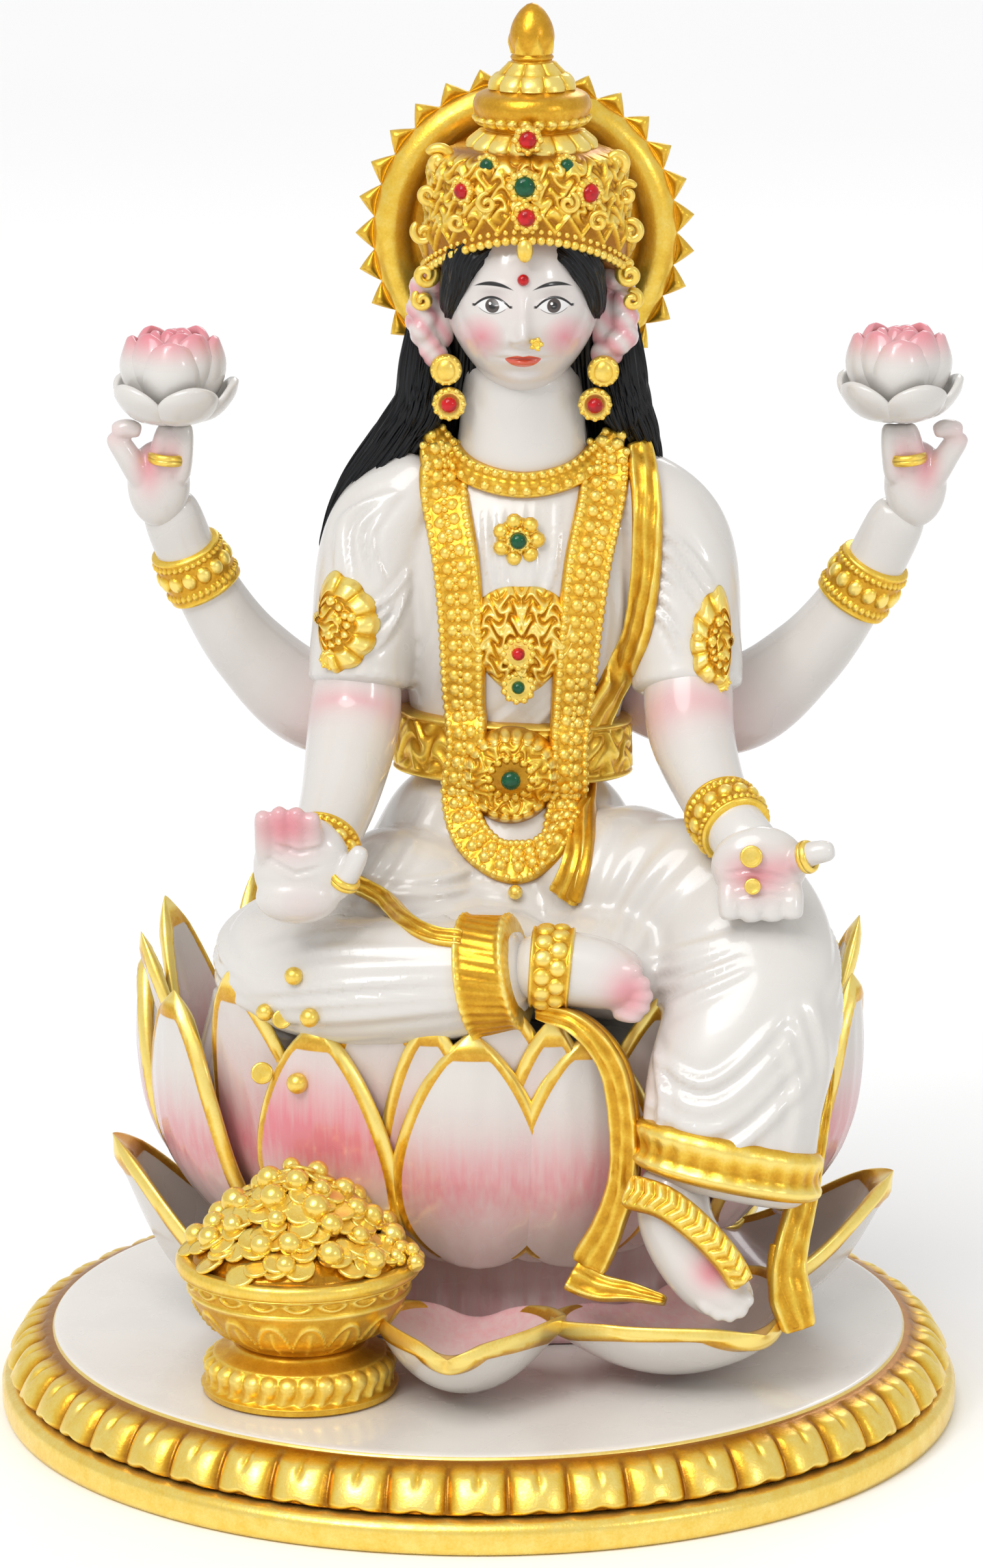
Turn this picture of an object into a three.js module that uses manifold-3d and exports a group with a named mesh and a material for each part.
// A seated four-armed deity statuette on a double lotus: painted cast resin on a round gilded plinth.
// Millimetres, +Z up. The origin is the centre of the plinth's underside, and the statuette faces -Y.
import * as THREE from "three";
import { mergeVertices } from "three/addons/utils/BufferGeometryUtils.js";
import Module from "manifold-3d";

const wasm = await Module();
wasm.setup();

// ---------- driving dimensions ----------
const GAP = 0.3; // clearance between neighbouring pieces
const PLINTH_R = 66; // widest radius, at the foot band
const FOOT_BAND_H = 4.6; // plain gilded band that the statuette stands on
const GADROON_H = 6.2; // sloping band of tongues above it
const GADROONS = 50;
const GADROON_DEPTH = 0.7; // how far each tongue stands out
const DECK_R = 59; // white deck inside the gadroons
const DECK_RISE = 0.5; // deck above the gadroons' upper edge
const DECK_T = 2.2;

const LOTUS_X = 3; // the lotus stands right of and behind the plinth's centre, which leaves room for the pot
const LOTUS_Y = 10;
const LOTUS_HALF_WIDTH = 49.4; // over the upper petals
const LOTUS_DEPTH = 0.78; // the lotus is this much shallower than it is wide
const SEAT_H = 46; // seat above the deck
const PETAL_T = 2.6; // thickness of an upper petal at its middle
const CORE_INSET = 7.5; // from the upper petals' middle surface in to the seat's wall
const UPPER_PETAL_W = 11.5; // half width
const UPPER_PETAL_AZ = [-187, -155, -123, -97, -75, -12, 20, 52, 84, 118];
const INNER_PETAL_AZ = [-171, -139, -110, -86, -63, -28, 4, 36, 68, 100, 134, 160];
const INNER_PETAL_W = 9.5;
const LOWER_PETAL_AZ = [-103, -50, 2, 51, 97, 139, 180]; // the pot stands where an eighth would be
const LOWER_PETAL_W = 19;
const LOWER_PETAL_T = 7;
const LOWER_TIP_H = 22.7; // tips above the deck, before they lean down to the front
const LOWER_PETAL_REACH = 54; // from the middle of the lower row out to each tip
const LOWER_ROW = [3.5, 2]; // middle of the lower row

const POT_BEARING = (-117.1 * Math.PI) / 180; // round the lotus, before the lotus is squashed
const POT_NESTLE = 1.9; // how far the pot's rim reaches in under the petals
const POT_FOOT_R = 13;
const POT_FOOT_H = 6.5;
const POT_RIM_R = 16.5;
const POT_BOWL_H = 12;
const HEAP_H = 12;

const FIGURE = 1; // scale of the figure about its seat
const HALO_R = 20.7; // smooth disc, inside the rays
const RAY_R = 23.2;
const RAYS = 29;
const HALO_T = 3.6;
const BANGLE_T = 1; // how far a bangle stands off the arm
const CROWN_TILT = 0.26; // rise of the crown's lower edge towards the forehead

// ---------- levels that follow ----------
const deckZ = FOOT_BAND_H + GADROON_H + DECK_RISE;
const seatZ = deckZ + SEAT_H;
const lotusFoot = deckZ + GAP;
const petalFront = -LOTUS_DEPTH * LOTUS_HALF_WIDTH; // y of the front petals, from the seat's middle

// ---------- materials ----------
const finish = (color, roughness, metalness) =>
  new THREE.MeshStandardMaterial({ color, roughness, metalness });
const materials = {
  marble_resin: finish(0xe9e4e0, 0.25, 0),
  gold_paint: finish(0xd9a520, 0.35, 0.8),
  petal_resin: finish(0xe8d3d3, 0.3, 0),
  black_hair: finish(0x14151a, 0.3, 0),
};

// ---------- shape helpers ----------

// A closed geometry as a solid, with its faces turned outwards.
function solid(geometry) {
  const g = geometry.clone();
  g.deleteAttribute("normal");
  g.deleteAttribute("uv");
  const merged = mergeVertices(g, 1e-3);
  const triVerts = new Uint32Array(merged.index.array);
  const make = () =>
    new wasm.Manifold(
      new wasm.Mesh({ numProp: 3, vertProperties: merged.attributes.position.array, triVerts }),
    );
  const first = make();
  if (first.volume() > 0) return first;
  for (let i = 0; i < triVerts.length; i += 3) {
    [triVerts[i + 1], triVerts[i + 2]] = [triVerts[i + 2], triVerts[i + 1]];
  }
  return make();
}

function geometryOf(manifold) {
  const mesh = manifold.getMesh();
  const g = new THREE.BufferGeometry();
  g.setAttribute("position", new THREE.BufferAttribute(mesh.vertProperties, 3));
  g.setIndex(new THREE.BufferAttribute(mesh.triVerts, 1));
  return g;
}

const union = (...solids) => solids.reduce((a, b) => a.add(b));
const largest = (s) => s.decompose().sort((a, b) => b.volume() - a.volume())[0];

// A sphere's grid, each vertex moved to place(t, angle): t runs from pole to pole and angle goes round.
function wrap(sides, rings, place) {
  const g = new THREE.SphereGeometry(1, sides, rings);
  const { position, uv } = g.attributes;
  const p = new THREE.Vector3();
  for (let i = 0; i < position.count; i++) {
    const t = 1 - uv.getY(i);
    const pole = t < 1e-6 || t > 1 - 1e-6;
    place(t, pole ? 0 : (uv.getX(i) % 1) * 2 * Math.PI, p);
    position.setXYZ(i, p.x, p.y, p.z);
  }
  return solid(g);
}

// A limb: oval rings carried along a smooth line through stations [x, y, z, half width, half depth].
// The half width lies across `up`, and blunt says how square the two ends are. grow swells it all round.
function limb(stations, { up = [0, -1, 0], sides = 10, rings = 8, blunt = 4 } = {}) {
  const line = new THREE.CatmullRomCurve3(stations.map((s) => new THREE.Vector3(s[0], s[1], s[2])));
  const size = new THREE.CatmullRomCurve3(stations.map((s) => new THREE.Vector3(s[3], s[4], 0)));
  const upward = new THREE.Vector3(...up);
  return (grow) =>
    wrap(sides, rings, (t, angle, p) => {
      const along = line.getTangent(t);
      const side = new THREE.Vector3().crossVectors(along, upward).normalize();
      const out = new THREE.Vector3().crossVectors(side, along);
      const s = size.getPoint(t);
      const end = Math.pow(Math.max(0, 1 - Math.pow(Math.abs(2 * t - 1), blunt)), 1 / blunt);
      p.copy(line.getPoint(t));
      p.addScaledVector(side, Math.cos(angle) * (s.x + grow) * end);
      p.addScaledVector(out, Math.sin(angle) * (s.y + grow) * end);
      p.addScaledVector(along, (2 * t - 1) * grow * (t < 0.001 || t > 0.999 ? 1 : 0));
    });
}

// A band round a limb from share t0 to share t1 of its length, standing `proud` of it.
function bandOn(stations, t0, t1, proud, options = {}) {
  const line = new THREE.CatmullRomCurve3(stations.map((s) => new THREE.Vector3(s[0], s[1], s[2])));
  const size = new THREE.CatmullRomCurve3(stations.map((s) => new THREE.Vector3(s[3], s[4], 0)));
  const cut = [0, 0.5, 1].map((k) => {
    const t = t0 + (t1 - t0) * k;
    const p = line.getPoint(t);
    const s = size.getPoint(t);
    return [p.x, p.y, p.z, s.x + proud, s.y + proud];
  });
  return limb(cut, { sides: 10, rings: 4, blunt: 14, ...options });
}

// A solid of revolution about an upright axis through (x, y), squeezed in depth, from [radius, z] points.
// Its lower edge can be tilted.
function turned(x, y, profile, { sides = 16, depth = 1, lobes = 0, lobe = 0, tilt = 0 } = {}) {
  return (grow) => {
    const low = Math.min(...profile.map((p) => p[1]));
    const high = Math.max(...profile.map((p) => p[1]));
    const points = profile.map(([r, z]) => {
      const lift = z === low ? -grow : z === high ? grow : 0;
      return new THREE.Vector2(r > 0 ? r + grow : 0, z + lift);
    });
    const g = new THREE.LatheGeometry(points, sides);
    g.rotateX(Math.PI / 2);
    const { position } = g.attributes;
    for (let i = 0; i < position.count; i++) {
      const a = Math.atan2(position.getY(i), position.getX(i));
      const r = Math.hypot(position.getX(i), position.getY(i));
      const k = r > 1e-6 ? (r + lobe * Math.cos(lobes * a)) / r : 0;
      if (position.getZ(i) < low + 0.01) position.setZ(i, position.getZ(i) - tilt * position.getY(i));
      position.setXY(i, x + position.getX(i) * k, y + position.getY(i) * k * depth);
    }
    return solid(g);
  };
}

const ball = (x, y, z, a, b, c, sides = 10, rings = 6) => (grow) => {
  const g = new THREE.SphereGeometry(1, sides, rings);
  g.rotateX(Math.PI / 2);
  g.scale(a + grow, b + grow, c + grow);
  g.translate(x, y, z);
  return solid(g);
};

const joined = (...makers) => (grow) => union(...makers.map((m) => m(grow)));

// ---------- the lotus ----------

// A petal: a blade with a broad round root and a pointed tip, bent round its row's middle. `line` gives
// [radius, z] from root to tip, and a positive cupping curls the edges in towards the lotus.
function petal(azimuth, halfWidth, thickness, line, { row = LOTUS, cupping = 1, taper = 0, sides = 8, rings = 6 } = {}) {
  const curve = new THREE.CatmullRomCurve3(line.map(([r, z]) => new THREE.Vector3(r, 0, z)));
  const middle = THREE.MathUtils.degToRad(azimuth);
  return (grow) =>
    wrap(sides, rings, (t, angle, p) => {
      const c = curve.getPoint(t);
      const d = curve.getTangent(t);
      const root = Math.sqrt(1 - Math.pow(1 - t, 5));
      const breadth = root * Math.pow(1 - Math.pow(t, 4), 0.8);
      const across = Math.cos(angle) * (halfWidth + grow) * breadth;
      const curl = Math.pow(Math.cos(angle), 2) * cupping * breadth;
      const lift = Math.sin(angle) * ((thickness / 2) * (1 - taper * t) + grow) * Math.min(1, 3 * breadth);
      const r = c.x + d.z * lift - curl;
      const a = middle + across / c.x;
      p.set(row.x + r * Math.cos(a), row.y + row.depth * r * Math.sin(a), c.z - d.x * lift);
    });
}

const LOTUS = { x: LOTUS_X, y: LOTUS_Y, depth: LOTUS_DEPTH };
const LOWER = { x: LOWER_ROW[0], y: LOWER_ROW[1], depth: 1 };

// The cup that the upper petals lie on, as [radius, z] pairs from foot to lip, `inset` inside their middle surface.
const cup = (inset, tip = 3) => [
  [LOTUS_HALF_WIDTH * 0.8 - inset, deckZ + SEAT_H * 0.3],
  [LOTUS_HALF_WIDTH * 0.95 - inset, deckZ + SEAT_H * 0.52],
  [LOTUS_HALF_WIDTH - inset, deckZ + SEAT_H * 0.75],
  [LOTUS_HALF_WIDTH * 0.95 - inset, seatZ + tip],
];

const lotusCore = turned(
  LOTUS_X,
  LOTUS_Y,
  [
    [0, lotusFoot],
    [31, lotusFoot],
    [31, deckZ + SEAT_H * 0.2],
    ...cup(CORE_INSET, -2),
    [0, seatZ - 2],
  ],
  { sides: 24, depth: LOTUS_DEPTH },
);

const upperPetal = (azimuth) => petal(azimuth, UPPER_PETAL_W, PETAL_T, cup(0));

// The inner row is one ring: its petals grow out of a shared band that sits on the core.
const innerRow = (grow) => {
  const inset = CORE_INSET - GAP - PETAL_T * 0.75;
  const petals = INNER_PETAL_AZ.map((a) =>
    petal(a, INNER_PETAL_W, PETAL_T * 0.7, cup(inset, 5), { cupping: 0.3, sides: 5, rings: 5 })(grow),
  );
  const [, low, high] = cup(inset);
  const outer = turned(LOTUS_X, LOTUS_Y, [[0, low[1]], low, high, [0, high[1]]], {
    sides: 24,
    depth: LOTUS_DEPTH,
  });
  return union(outer(grow), ...petals);
};

// The lower petals are thick scoops that lie on the deck. They turn up steeply at the sides and back.
function lowerPetal(azimuth) {
  const a = THREE.MathUtils.degToRad(azimuth);
  const front = Math.max(0, -Math.sin(a));
  const tip = deckZ + LOWER_TIP_H - 3 * Math.cos(a) - 15 * Math.pow(front, 0.6);
  const lying = deckZ + LOWER_PETAL_T * 0.45;
  const line = [
    [24, lying + 4],
    [36, lying + 0.5],
    [46, lying + (tip - lying) * 0.4],
    [LOWER_PETAL_REACH, tip],
  ];
  return petal(azimuth, LOWER_PETAL_W, LOWER_PETAL_T, line, { row: LOWER, cupping: -3, taper: 0.75 });
}

// ---------- the figure ----------

// A point of the figure, in millimetres from the middle of the seat.
const at = (x, y, z) => [LOTUS_X + FIGURE * x, LOTUS_Y + FIGURE * y, seatZ + FIGURE * z];
const station = (x, y, z, a, b) => [...at(x, y, z), FIGURE * a, FIGURE * b];
const blob = (x, y, z, a, b, c, ...n) =>
  ball(...at(x, y, z), FIGURE * a, FIGURE * b, FIGURE * c, ...n);

const HEAD_X = 3; // the head, crown and halo stand a little to the figure's left
const torsoLine = [
  station(1.6, -2, 28, 15, 11),
  station(2, -1.5, 38, 14.6, 10.6),
  station(2.6, -2.4, 51, 16.6, 12),
  station(3.4, -1.5, 63, 19, 10),
  station(HEAD_X, -0.8, 74.5, 14, 7),
];
const torso = limb(torsoLine, { sides: 14, rings: 8, blunt: 5 });
const hips = limb(
  [
    station(0.5, -4, -2.4, 30, 22),
    station(0.5, -4, 9, 26, 20),
    station(1, -3, 20, 19, 15),
    station(1.4, -2, 30, 15.6, 11.8),
  ],
  { sides: 16, rings: 8, blunt: 6 },
);
const headLine = [
  station(HEAD_X, -1, 70, 7.6, 6.4),
  station(HEAD_X, -2, 79, 6.8, 6.2),
  station(HEAD_X, -3.5, 88, 6.6, 6.6),
];
const head = joined(
  limb(headLine, { rings: 6, blunt: 6 }),
  blob(HEAD_X, -6, 96.5, 10, 11, 13.4, 12, 8),
  blob(HEAD_X - 12.2, -4, 93.5, 3.6, 2.2, 5, 8, 5),
  blob(HEAD_X + 12.2, -4, 93.5, 3.6, 2.2, 5, 8, 5),
);
const hair = joined(
  limb(
    [
      station(HEAD_X, -3, 101, 12.6, 9),
      station(HEAD_X, 3, 90, 13, 6.4),
      station(HEAD_X - 0.6, 5.5, 77, 18, 6),
      station(2, 8.8, 66, 22, 5),
      station(2, 10, 52, 17, 4.4),
      station(2, 9.4, 40, 9, 3.6),
    ],
    { sides: 16, rings: 10 },
  ),
);
const crownLine = [
  [0, 102],
  [14, 102],
  [14, 107],
  [12.2, 115.4],
  [0, 115.4],
].map(([r, z]) => [r * FIGURE, seatZ + z * FIGURE]);
const crown = turned(...at(HEAD_X, -4.5, 0).slice(0, 2), crownLine, {
  sides: 20,
  depth: 0.92,
  lobes: 10,
  lobe: 0.4,
  tilt: CROWN_TILT,
});
const finialLine = [
  [0, 115.8],
  [7.2, 115.8],
  [6.6, 118.4],
  [7.9, 120.6],
  [7.4, 123.6],
  [4.8, 126],
  [2.4, 127.4],
  [3.2, 130.4],
  [2.4, 133.6],
  [0, 135.6],
].map(([r, z]) => [r * FIGURE, seatZ + z * FIGURE]);
const finial = turned(...at(HEAD_X + 1, -4.5, 0).slice(0, 2), finialLine, { sides: 14 });

// The halo: a disc with a raised outer ring of rays, standing upright behind the head.
const halo = (grow) => {
  const outline = new THREE.Shape();
  for (let i = 0; i < 2 * RAYS; i++) {
    const r = (i % 2 ? HALO_R : RAY_R) * FIGURE + grow;
    const a = (Math.PI * i) / RAYS;
    outline[i ? "lineTo" : "moveTo"](r * Math.sin(a), r * Math.cos(a));
  }
  outline.closePath();
  const depth = HALO_T * FIGURE + 2 * grow;
  const g = new THREE.ExtrudeGeometry(outline, { depth, bevelEnabled: false });
  g.rotateX(Math.PI / 2);
  const [x, y, z] = at(HEAD_X + 0.4, 5.6, 102.5);
  g.translate(x, y + HALO_T * FIGURE + grow, z);
  return solid(g);
};

// Arms, from the shoulder to the wrist.
const armLines = {
  right_front: [
    station(-9.4, -0.5, 71.4, 5.4, 6.6),
    station(-15.6, -2, 62, 7.6, 8),
    station(-18.4, -6, 49, 7, 7.6),
    station(-19.8, -11, 38, 6.6, 6.4),
    station(-21.6, -22, 31, 5.2, 5),
    station(-24, -33, 26, 4.2, 3.8),
  ],
  left_front: [
    station(15, -0.5, 71, 5.4, 6.6),
    station(22, -2, 61.5, 8.4, 8),
    station(25, -7, 48, 7.4, 7.4),
    station(25.6, -15, 38, 5.8, 5.4),
    station(28.6, -25, 31.6, 4.6, 4.4),
    station(31.6, -33, 28.6, 4.2, 3.8),
  ],
  right_rear: [
    station(-11, 5, 42, 8, 6),
    station(-24, 6.5, 37, 7, 5.6),
    station(-34.6, 6, 45, 5.4, 4.8),
    station(-42, 3.5, 57.5, 4.2, 3.8),
    station(-45.6, 0, 66.4, 3.8, 3),
  ],
  left_rear: [
    station(17, 5, 42, 8, 6),
    station(31.4, 6.5, 37, 7, 5.6),
    station(42, 6, 44, 5.4, 4.8),
    station(50, 3.5, 55.5, 4.2, 3.8),
    station(55, 0, 65, 3.8, 3),
  ],
};
const arm = (line) => limb(line, { sides: 9, rings: 8, blunt: 5 });

// A finger as a short limb from root to tip, of even thickness.
const finger = (root, tip, r) => {
  const middle = root.map((v, i) => (v + tip[i]) / 2);
  return limb(
    [station(...root, r, r), station(...middle, r, r), station(...tip, r * 0.9, r * 0.9)],
    { up: [1, 0.3, 0], sides: 5, rings: 4, blunt: 4 },
  );
};

// The right hand is raised palm forward, its fingers tipping towards the viewer.
const rightHand = joined(
  blob(-25.4, -38.4, 25, 6.6, 3.4, 7, 10, 7),
  ...[-4.8, -1.7, 1.4, 4.4].map((x) => finger([-25.4 + x, -39, 29], [-25.8 + x, -43, 34.5], 1.9)),
  finger([-19.8, -39, 24], [-16.6, -42, 30], 1.8),
);
// The left hand hangs palm forward, its fingers down on the knee.
const leftHand = joined(
  blob(34, -36.5, 24.5, 6.2, 3.2, 5.6, 10, 7),
  ...[-4.4, -1.5, 1.5, 4.3].map((x) => finger([34 + x, -37.4, 22], [34.4 + x, -39.2, 16.8], 1.8)),
  finger([38.4, -38, 26], [43, -40, 27.6], 1.8),
);
// A rear hand holds its blossom up between the fingers.
const rearHand = (side, x) =>
  joined(
    blob(x, -1.2, 69.5, 4.2, 2.8, 5.6, 10, 7),
    ...[-0.6, 1.6, 3.4].map((dx) =>
      finger([x + side * dx, -1.6, 72], [x - side * (3.2 - dx), -3, 78], 1.4),
    ),
    finger([x + side * 3.6, -1.4, 71], [x + side * 6.4, -2.4, 76.4], 1.5),
  );
const blossom = (x, z) => {
  const [cx, cy] = at(x, -2.5, 0);
  const profile = [
    [0, z],
    [2.6, z],
    [6.4, z + 3],
    [8.4, z + 6.4],
    [6.6, z + 8],
    [6.2, z + 12.4],
    [0, z + 12.4],
  ].map(([r, h]) => [r * FIGURE, seatZ + h * FIGURE]);
  return turned(cx, cy, profile, { sides: 15, lobes: 5, lobe: 0.5 * FIGURE });
};

// Legs. The right leg is folded across the seat, and the left hangs over the lotus.
const foldedLegLine = [
  station(-9, -12, 10, 13, 9),
  station(-27, -14, 8, 11, 9.5),
  station(-33, -22, 6, 8, 8),
  station(-22, -33, 7.5, 9.5, 8),
  station(-8, -36, 9.5, 8, 7.5),
  station(3.5, -37, 11.5, 6.2, 6.4),
];
const foldedLeg = limb(foldedLegLine, { up: [0, 0, 1], sides: 12, rings: 12, blunt: 5 });
const rightFootLine = [
  station(3, -37, 12, 4.8, 4.8),
  station(11, -37.5, 11.4, 4.6, 5),
  station(20.5, -38, 9, 4.4, 3.8),
];
const rightFoot = limb(rightFootLine, { up: [0, 0, 1], rings: 9, blunt: 4 });
const hangingLegLine = [
  station(10, -14, 12, 12, 10),
  station(28, -24, 14, 13.5, 10),
  station(34, -35, 6, 12.6, 9),
  station(31.4, -41, -5, 12.6, 7.6),
  station(30, -43, -18, 12, 7.2),
];
const hangingLeg = limb(hangingLegLine, { up: [0, -1, 0.2], sides: 14, rings: 12, blunt: 7 });
const leftFootLine = [
  station(22.6, -42.5, -14, 5, 5),
  station(24, -42.6, -21, 4.8, 5),
  station(28.6, -45, -29, 4.8, 4.4),
  station(33.4, -47, -36, 3.2, 2.6),
];
const leftFoot = limb(leftFootLine, { up: [0, -1, 0], rings: 9, blunt: 4 });

// Jewellery and cloth edges.
const beltLine = [
  station(1.7, -2, 30, 15.6, 11.8),
  station(1.8, -1.8, 34, 15.4, 11.6),
  station(2, -1.6, 38, 15.2, 11.4),
];
const belt = joined(
  limb(beltLine, { sides: 16, rings: 5, blunt: 14 }),
  limb(
    [
      station(1.3, -8, 32.8, 6.4, 6.4),
      station(1.3, -15, 32.8, 6.4, 6.4),
      station(1.3, -19.4, 32.4, 5.4, 5.4),
    ],
    { up: [0, 0, 1], sides: 14, rings: 5, blunt: 8 },
  ),
);
const chokerLine = [
  station(HEAD_X, -4.6, 69.6, 11, 8.6),
  station(HEAD_X, -2.6, 72.4, 10.4, 8.6),
  station(HEAD_X, -1, 75, 9.4, 8),
];
const choker = limb(chokerLine, { sides: 16, rings: 5, blunt: 8 });

// The garland: one flat chain down both sides of the chest, meeting below the belt.
const garland = limb(
  [
    [-6.6, -5.5, 72.6],
    [-6, -11.4, 64],
    [-5.2, -15.2, 54.7],
    [-3.9, -15.4, 38.4],
    [-6, -16.6, 28.6],
    [-3.6, -19.6, 23],
    [1.3, -21, 21],
    [6.4, -19.6, 23],
    [8.8, -16.6, 28.6],
    [8.2, -15.4, 38.4],
    [9.4, -15.2, 54.7],
    [11.4, -11.4, 64],
    [12.4, -5.5, 72.6],
  ].map((p) => station(...p, 2.6, 1.5)),
  { up: [0, -1, 0.2], sides: 6, rings: 20, blunt: 12 },
);
const sash = limb(
  [
    station(17.4, -3.4, 73, 2.2, 2),
    station(20, -9, 65, 2.2, 2),
    station(20, -12, 57, 2.2, 2),
    station(16.6, -12.6, 48, 2.2, 2),
    station(13.4, -13.2, 40, 2.4, 2),
  ],
  { up: [0, -1, 0.1], sides: 6, rings: 8, blunt: 8 },
);
// The cloth's gilded edge falls from the lap down the front petals, and kicks out at its foot.
const hemY = petalFront / FIGURE;
const frontHem = limb(
  [
    station(9, hemY + 3.4, 4.4, 1.4, 2),
    station(14, hemY - 0.6, 1, 1.8, 2),
    station(16.4, hemY - 2.2, -9, 2, 2),
    station(15.6, hemY - 2.2, -20, 2.2, 2),
    station(11.8, hemY - 2, -29, 2.8, 2),
    station(11, hemY - 2.2, -31, 2.6, 1.8),
    station(20.6, hemY - 5, -32.4, 1.4, 1.4),
  ],
  { up: [0, -1, 0.2], sides: 6, rings: 12, blunt: 6 },
);
// A braided strap lies along the top of the left foot.
const footStrap = limb(
  [
    station(17, -46.6, -16.8, 1.2, 2.4),
    station(21.6, -49, -17.6, 1.3, 2.4),
    station(26.2, -50.6, -20.8, 1.3, 2.2),
    station(29.8, -51.6, -24.6, 1.3, 2),
    station(31.8, -51.6, -27.8, 1.2, 1.8),
  ],
  { up: [0, 0, 1], sides: 8, rings: 8, blunt: 6 },
);
const sideHem = limb(
  [
    station(43.6, -36, -8, 1, 2),
    station(41, -40, -18, 2.4, 2.4),
    station(38.6, -43, -29, 3.2, 2.6),
    station(38.4, -46, -35.6, 3, 2),
  ],
  { up: [0, -1, 0.2], sides: 6, rings: 7, blunt: 6 },
);
const earring = (side) =>
  joined(
    blob(HEAD_X + side * 10.8, -8.4, 85, 2, 1.6, 2.2, 7, 5),
    blob(HEAD_X + side * 10.8, -8.8, 81.2, 2, 1.6, 2.6, 7, 5),
  );

// ---------- the pot ----------
const potReach = LOTUS_HALF_WIDTH * 0.9 + POT_RIM_R - POT_NESTLE;
const potX = LOTUS_X + potReach * Math.cos(POT_BEARING);
const potY = LOTUS_Y + LOTUS_DEPTH * potReach * Math.sin(POT_BEARING);
const potBase = deckZ + GAP;
const bowlBase = potBase + POT_FOOT_H + GAP;
const rimZ = bowlBase + POT_BOWL_H;
const potFoot = turned(
  potX,
  potY,
  [
    [0, potBase],
    [POT_FOOT_R, potBase],
    [POT_FOOT_R - 0.4, potBase + 2],
    [POT_FOOT_R - 2.6, potBase + POT_FOOT_H - 1],
    [POT_FOOT_R - 4, potBase + POT_FOOT_H],
    [0, potBase + POT_FOOT_H],
  ],
  { sides: 20 },
);
const potBowl = turned(
  potX,
  potY,
  [
    [0, bowlBase],
    [POT_FOOT_R - 4.4, bowlBase],
    [POT_RIM_R - 3.6, bowlBase + 3.4],
    [POT_RIM_R - 1.6, rimZ - 3.4],
    [POT_RIM_R, rimZ - 1.6],
    [POT_RIM_R - 0.6, rimZ],
    [0, rimZ],
  ],
  { sides: 20 },
);
const heapZ = rimZ + GAP;
const heap = turned(
  potX,
  potY,
  [
    [0, heapZ],
    [POT_RIM_R - 2, heapZ],
    [POT_RIM_R - 3, heapZ + 3.4],
    [POT_RIM_R - 8, heapZ + HEAP_H * 0.7],
    [POT_RIM_R - 13.4, heapZ + HEAP_H],
    [0, heapZ + HEAP_H + 0.6],
  ],
  { sides: 18, lobes: 6, lobe: 0.4 },
);

// ---------- the plinth ----------
const footBand = turned(
  0,
  0,
  [
    [0, 0],
    [PLINTH_R - 0.6, 0],
    [PLINTH_R, 0.6],
    [PLINTH_R, FOOT_BAND_H - 0.6],
    [PLINTH_R - 0.8, FOOT_BAND_H],
    [0, FOOT_BAND_H],
  ],
  { sides: 60 },
);
const deck = turned(
  0,
  0,
  [
    [0, deckZ - DECK_T],
    [DECK_R, deckZ - DECK_T],
    [DECK_R, deckZ - 0.5],
    [DECK_R - 0.5, deckZ],
    [0, deckZ],
  ],
  { sides: 60 },
);
// The body of the plinth: its rim is scalloped into tongues, and the deck is let into its top.
const gadroonLow = FOOT_BAND_H + GAP;
const gadroonHigh = deckZ - DECK_RISE;
const plinthBody = turned(
  0,
  0,
  [
    [0, gadroonLow],
    [PLINTH_R - 1.4, gadroonLow],
    [PLINTH_R - 2.2, gadroonLow + GADROON_H * 0.7],
    [DECK_R + 1.4, gadroonHigh],
    [0, gadroonHigh],
  ],
  { sides: GADROONS * 2, lobes: GADROONS, lobe: GADROON_DEPTH / 2 },
);

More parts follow.
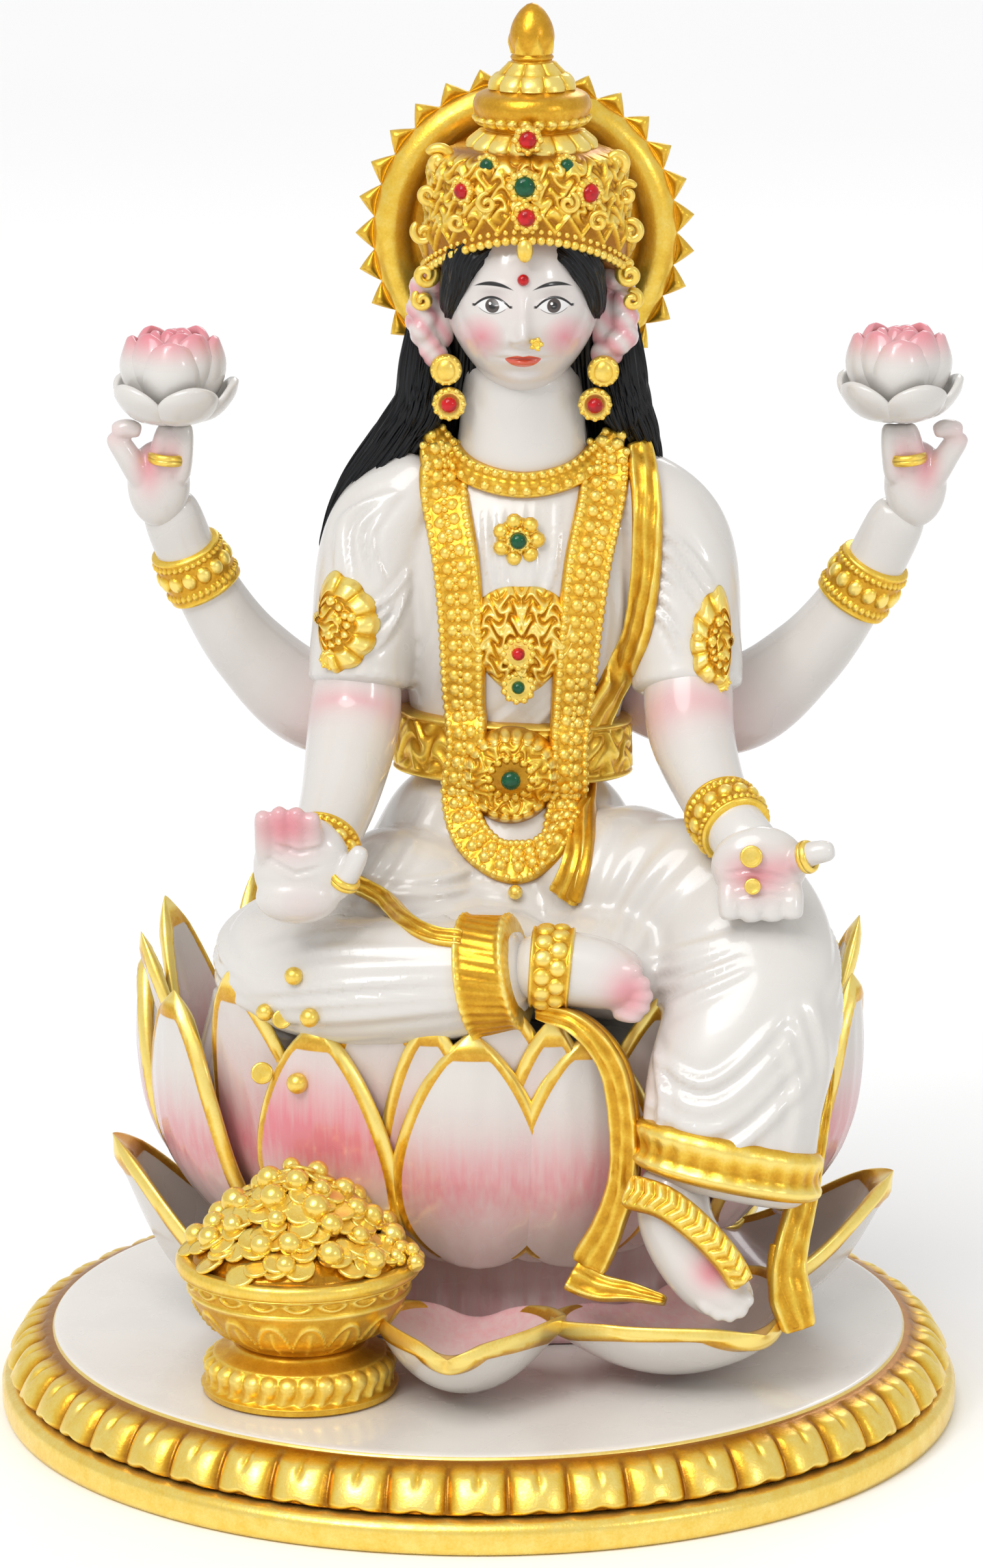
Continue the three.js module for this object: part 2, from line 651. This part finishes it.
// ---------- assembly ----------
// Each piece is cut back by the pieces before it that it touches, with the clearance between them.
const { marble_resin, gold_paint, petal_resin, black_hair } = materials;
const pieces = [
  ["plinth_foot_band", footBand, gold_paint],
  ["plinth_deck", deck, marble_resin],
  ["plinth_body", plinthBody, gold_paint],
  ["pot_foot", potFoot, gold_paint],
  ["pot_bowl", potBowl, gold_paint],
  ["pot_treasure_heap", heap, gold_paint],
  ["right_leg_folded", foldedLeg, marble_resin],
  ["left_leg_hanging", hangingLeg, marble_resin],
  ["hip_drape", hips, marble_resin],
  ["torso", torso, marble_resin],
  ["head", head, marble_resin],
  ["crown", crown, gold_paint],
  ["crown_finial", finial, gold_paint],
  ["halo", halo, gold_paint],
  ["hair", hair, black_hair],
  ["right_front_arm", arm(armLines.right_front), marble_resin],
  ["left_front_arm", arm(armLines.left_front), marble_resin],
  ["right_rear_arm", arm(armLines.right_rear), marble_resin],
  ["left_rear_arm", arm(armLines.left_rear), marble_resin],
  ["right_front_hand", rightHand, marble_resin],
  ["left_front_hand", leftHand, marble_resin],
  ["right_rear_hand", rearHand(-1, -47), marble_resin],
  ["left_rear_hand", rearHand(1, 57), marble_resin],
  ["right_blossom", blossom(-44.6, 78.6), petal_resin],
  ["left_blossom", blossom(53.4, 79), petal_resin],
  ["right_front_bangle", bandOn(armLines.right_front, 0.86, 0.95, BANGLE_T), gold_paint],
  ["left_front_bangle", bandOn(armLines.left_front, 0.83, 0.93, BANGLE_T), gold_paint],
  ["right_rear_bangle", bandOn(armLines.right_rear, 0.68, 0.82, BANGLE_T), gold_paint],
  ["left_rear_bangle", bandOn(armLines.left_rear, 0.66, 0.8, BANGLE_T), gold_paint],
  ["right_foot", rightFoot, marble_resin],
  ["left_foot", leftFoot, marble_resin],
  ["right_anklet", bandOn(rightFootLine, 0.04, 0.24, BANGLE_T, { up: [0, 0, 1] }), gold_paint],
  ["left_anklet", footStrap, gold_paint],
  ["belt", belt, gold_paint],
  ["choker", choker, gold_paint],
  ["garland", garland, gold_paint],
  ["shoulder_sash", sash, gold_paint],
  ["right_earring", earring(-1), gold_paint],
  ["left_earring", earring(1), gold_paint],
  ["front_cloth_edge", frontHem, gold_paint],
  ["side_cloth_edge", sideHem, gold_paint],
  ["lotus_core", lotusCore, petal_resin],
  ["inner_petal_row", innerRow, petal_resin],
  ...UPPER_PETAL_AZ.map((a, i) => [`upper_petal_${i + 1}`, upperPetal(a), petal_resin]),
  ...LOWER_PETAL_AZ.map((a, i) => [`lower_petal_${i + 1}`, lowerPetal(a), petal_resin]),
];

const touches = (a, b) =>
  [0, 1, 2].every((k) => a.min[k] < b.max[k] + GAP && b.min[k] < a.max[k] + GAP);

const statuette = new THREE.Group();
const placed = [];
for (const [name, make, material] of pieces) {
  let shape = make(0);
  for (const before of placed) {
    if (touches(shape.boundingBox(), before.box)) shape = shape.subtract(before.make(GAP));
  }
  shape = largest(shape);
  placed.push({ make, box: shape.boundingBox() });
  const mesh = new THREE.Mesh(geometryOf(shape), material);
  mesh.name = name;
  statuette.add(mesh);
}

export default statuette;
